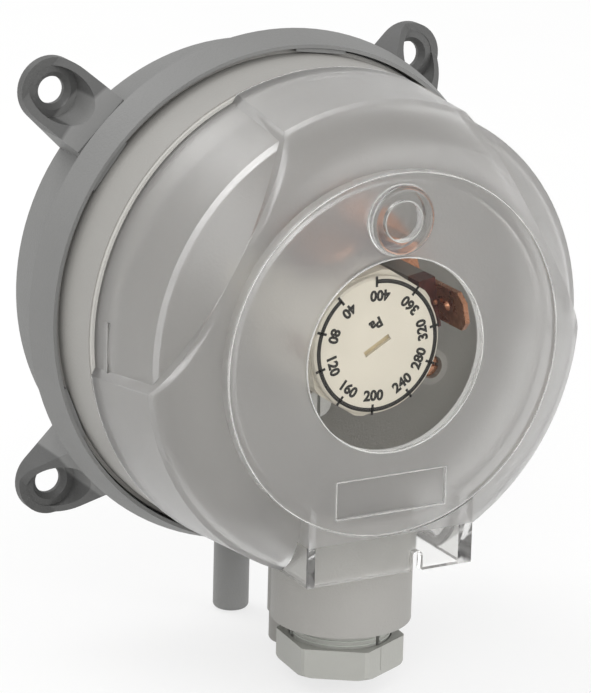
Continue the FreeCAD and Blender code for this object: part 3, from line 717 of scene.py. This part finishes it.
def plateBorder():
    # the crisp border of the plate's recess, a bead whose whitish colour paints its highlight line
    look = edgeLook
    tree = NodeTree("plateBorder", {"Width": "Float", "Height": "Float", "Bead": "Float"})
    border = tree.node("GeometryNodeCurvePrimitiveQuadrilateral", {"mode": "RECTANGLE"}, {
        0: tree.value("Width"), 1: tree.value("Height")})
    values = {
        "Width": look["plateWidth"] * mm, "Height": look["plateHeight"] * mm,
        "Bead": look["plateBead"] * mm,
    }
    piece = tree.mesh("plateBorder", beadAlong(tree, border), clearEdgeHighlight, values)
    standOnCover(piece, look["plateDepth"], look["plateMiddle"])


coverEdges()
plateBorder()
print("cover edges made")


# thread on the gland's slit fingers, a dark ring of painted shadow in the gap above it, and the nut's mould
# line

glandLook = {
    "depth": 41.0,
    "threadTop": -47.15,
    "threadBottom": -51.3,
    "threadRadius": 7.88,
    "threadPitch": 0.75,
    "threadBead": 0.17,
    "turnSteps": 96,
    "beadSteps": 6,
    "fingers": 3,
    "slitAngle": -71.0,
    "slitTop": -48.4,
    "slitHalf": 2.8,
    "gapRadius": 8.35,
    "gapWidth": 0.5,
    "gapHeight": 0.12,
    "gapRise": 0.1,             # above the thread's top
    "mouldAngle": -73.6,
    "mouldRadius": 9.08,
    "mouldSpan": (-54.0, -50.1),
    "mouldSize": 0.13,
}


def glandThread():
    look = glandLook
    tree = NodeTree("glandThread", {"Radius": "Float", "Height": "Float", "Turns": "Float", "Bead": "Float",
                                    "Slit turn": "Float", "Slit top": "Float", "Slit limit": "Float"})
    helix = tree.node("GeometryNodeCurveSpiral", None, {
        "Resolution": look["turnSteps"], "Rotations": tree.value("Turns"),
        "Start Radius": tree.value("Radius"), "End Radius": tree.value("Radius"),
        "Height": tree.value("Height")})
    profile = tree.node("GeometryNodeCurvePrimitiveCircle", {"mode": "RADIUS"}, {
        "Resolution": look["beadSteps"], "Radius": tree.value("Bead")})
    ridge = tree.node("GeometryNodeCurveToMesh", None, {0: helix, 1: profile, "Fill Caps": True})
    apart = tree.node("ShaderNodeSeparateXYZ", None, {0: tree.node("GeometryNodeInputPosition")})
    x, y, z = apart.node.outputs
    turn = tree.maths("SUBTRACT", tree.maths("ARCTAN2", y, x), tree.value("Slit turn"))
    nearness = tree.maths("COSINE", tree.maths("MULTIPLY", turn, look["fingers"]))
    near = tree.maths("GREATER_THAN", nearness, tree.value("Slit limit"))
    below = tree.maths("LESS_THAN", z, tree.value("Slit top"))
    slit = tree.maths("MULTIPLY", near, below)
    kept = tree.node("GeometryNodeDeleteGeometry", None, {0: ridge, "Selection": slit})
    rounded = tree.node("GeometryNodeSetShadeSmooth", None, {0: kept})
    height = look["threadTop"] - look["threadBottom"]
    values = {
        "Radius": look["threadRadius"] * mm, "Height": height * mm, "Turns": height / look["threadPitch"],
        "Bead": look["threadBead"] * mm, "Slit turn": math.radians(look["slitAngle"]),
        "Slit top": (look["slitTop"] - look["threadBottom"]) * mm,
        "Slit limit": math.cos(math.radians(look["fingers"] * look["slitHalf"])),
    }
    piece = tree.mesh("glandThread", rounded, threadPlastic, values)
    piece.data.transform(Matrix.Translation(Vector((0, -look["depth"], look["threadBottom"])) * mm))
    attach(piece, "housing")


def glandGap():
    # a thin dark ring of painted shadow, where the gap between the collar and the thread lies in shade
    look = glandLook
    tree = NodeTree("glandGap", {"Radius": "Float", "Width": "Float", "Height": "Float"})
    circle = tree.node("GeometryNodeCurvePrimitiveCircle", {"mode": "RADIUS"}, {
        "Resolution": look["turnSteps"], "Radius": tree.value("Radius")})
    profile = tree.node("GeometryNodeCurvePrimitiveQuadrilateral", {"mode": "RECTANGLE"}, {
        0: tree.value("Width"), 1: tree.value("Height")})
    band = tree.node("GeometryNodeCurveToMesh", None, {0: circle, 1: profile})
    piece = tree.mesh("glandGap", band, shadowPlastic, {
        "Radius": look["gapRadius"] * mm, "Width": look["gapWidth"] * mm,
        "Height": look["gapHeight"] * mm})
    place = Vector((0, -look["depth"], look["threadTop"] + look["gapRise"])) * mm
    piece.data.transform(Matrix.Translation(place))
    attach(piece, "housing")


def nutMouldLine():
    look = glandLook
    low, high = look["mouldSpan"]
    size = Vector((look["mouldSize"], look["mouldSize"], high - low)) * mm
    centre = Vector((look["mouldRadius"], 0, (low + high) / 2)) * mm
    mesh = boxMesh("nutMouldLine", size, centre)
    mesh.transform(Matrix.Rotation(math.radians(look["mouldAngle"]), 4, "Z"))
    mesh.transform(Matrix.Translation(Vector((0, -look["depth"], 0)) * mm))
    addPiece("nutMouldLine", mesh, "gland_nut", glandPlastic)


terminalLook = {
    "angles": (112.0, 74.0, 10.0),
    "front": 41.0,
    "radius": 15.7,
    "headRadius": 0.42,
    "headSteps": (16, 8),
}


def terminalRivets():
    # one small copper head on the front of each maroon carrier, beside the blade's root
    look = terminalLook
    around, upwards = look["headSteps"]
    joined = bmesh.new()
    for angle in look["angles"]:
        place = Matrix.Translation(facing(look["radius"], angle, look["front"]))
        bmesh.ops.create_uvsphere(joined, u_segments=around, v_segments=upwards,
                                  radius=look["headRadius"] * mm, matrix=place)
    mesh = bpy.data.meshes.new("terminalRivets")
    joined.to_mesh(mesh)
    joined.free()
    mesh.shade_smooth()
    addPiece("terminalRivets", mesh, "housing", copperAlloy)


glandThread()
glandGap()
nutMouldLine()
terminalRivets()
print("gland detailed")


# camera at the photograph's angle

cameraLook = {
    "target": (0, -26.6, 0),
    "azimuth": -29.26,
    "elevation": 16.56,
    "roll": 1.55,
    "distance": 635.06,
    "focalPixels": 4004,
    "centrePixels": (304.62, 306.12),
    "imagePixels": (591, 693),
    "sensor": 36,
    "clipStart": 0.01,
}


def placeCamera():
    look = cameraLook
    azimuth = math.radians(look["azimuth"])
    elevation = math.radians(look["elevation"])
    roll = math.radians(look["roll"])
    back = Vector((math.sin(azimuth) * math.cos(elevation), -math.cos(azimuth) * math.cos(elevation),
                   math.sin(elevation)))
    level = Vector((math.cos(azimuth), math.sin(azimuth), 0))
    upright = back.cross(level)
    right = math.cos(roll) * level + math.sin(roll) * upright
    up = -math.sin(roll) * level + math.cos(roll) * upright
    width, height = look["imagePixels"]
    across, down = look["centrePixels"]
    camera = bpy.data.cameras.new("camera")
    camera.sensor_fit = "VERTICAL"
    camera.sensor_height = look["sensor"]
    camera.sensor_width = look["sensor"]
    camera.lens = look["sensor"] * look["focalPixels"] / height
    camera.shift_x = (width / 2 - across) / height
    camera.shift_y = (down - height / 2) / height
    camera.clip_start = look["clipStart"]
    holder = bpy.data.objects.new("camera", camera)
    scene.collection.objects.link(holder)
    eye = (Vector(look["target"]) + back * look["distance"]) * mm
    holder.matrix_world = Matrix.Translation(eye) @ Matrix((right, up, back)).transposed().to_4x4()
    scene.camera = holder


placeCamera()


# floor, light and surroundings

lightLook = {
    "floorHeight": -58.7,
    "floorSize": 3.0,
    "floorColours": ((0.86, 0.86, 0.855), (0.90, 0.90, 0.895)),
    "speckleScale": 30,
    "floorGlow": 0.72,          # how far the floor looks plain white
    "worldStrength": 0.78,
    "white": (1, 1, 1),
    "aim": (0, -0.03, 0),
    "lamps": {                  # place in metres, size, watts
        "keyLight": ((-0.55, -0.85, 0.60), 0.7, 4.7),
        "fillLight": ((0.55, -0.85, 0.10), 0.8, 5.0),
        "rimLight": ((-0.3, 0.5, 0.8), 0.6, 3.0),
    },
}


def floorFinish():
    look = lightLook
    finish = Finish("paleFloor")
    speckle = finish.noise(look["speckleScale"], 3)
    paper = finish.node("ShaderNodeBsdfDiffuse", None, {0: finish.blend(speckle, *look["floorColours"])})
    glow = finish.node("ShaderNodeEmission", None, {0: rgba(look["white"]), 1: 1.0})
    seen = finish.ray("Camera") + finish.ray("Glossy") + finish.ray("Transmission")
    return finish.show(finish.mix(finish.maths("MINIMUM", seen, 1.0) * look["floorGlow"], paper, glow))


def stageFloor():
    half = lightLook["floorSize"] / 2
    height = lightLook["floorHeight"] * mm
    corners = [(-half, -half, height), (half, -half, height), (half, half, height), (-half, half, height)]
    mesh = bpy.data.meshes.new("floor")
    mesh.from_pydata(corners, [], [(0, 1, 2, 3)])
    mesh.materials.append(floorFinish())
    floor = bpy.data.objects.new("floor", mesh)
    scene.collection.objects.link(floor)


def surroundings():
    # soft light all round, plain white where it is seen directly or through the cover
    scene.world = bpy.data.worlds.new("surroundings")
    finish = Finish("surroundings", scene.world)
    white, strength = rgba(lightLook["white"]), lightLook["worldStrength"]
    soft = finish.node("ShaderNodeBackground", None, {"Color": white, "Strength": strength})
    plain = finish.node("ShaderNodeBackground", None, {"Color": white})
    seen = finish.maths("MAXIMUM", finish.ray("Camera"), finish.ray("Transmission"))
    finish.show(finish.mix(seen, soft, plain))


def lightScene():
    aim = Vector(lightLook["aim"])
    for name, (place, size, power) in lightLook["lamps"].items():
        lamp = bpy.data.lights.new(name, "AREA")
        lamp.size = size
        lamp.energy = power
        holder = bpy.data.objects.new(name, lamp)
        holder.location = place
        holder.rotation_euler = (Vector(place) - aim).to_track_quat("Z", "Y").to_euler()
        scene.collection.objects.link(holder)


stageFloor()
surroundings()
lightScene()
scene.view_settings.view_transform = "Standard"
print("stage lit")
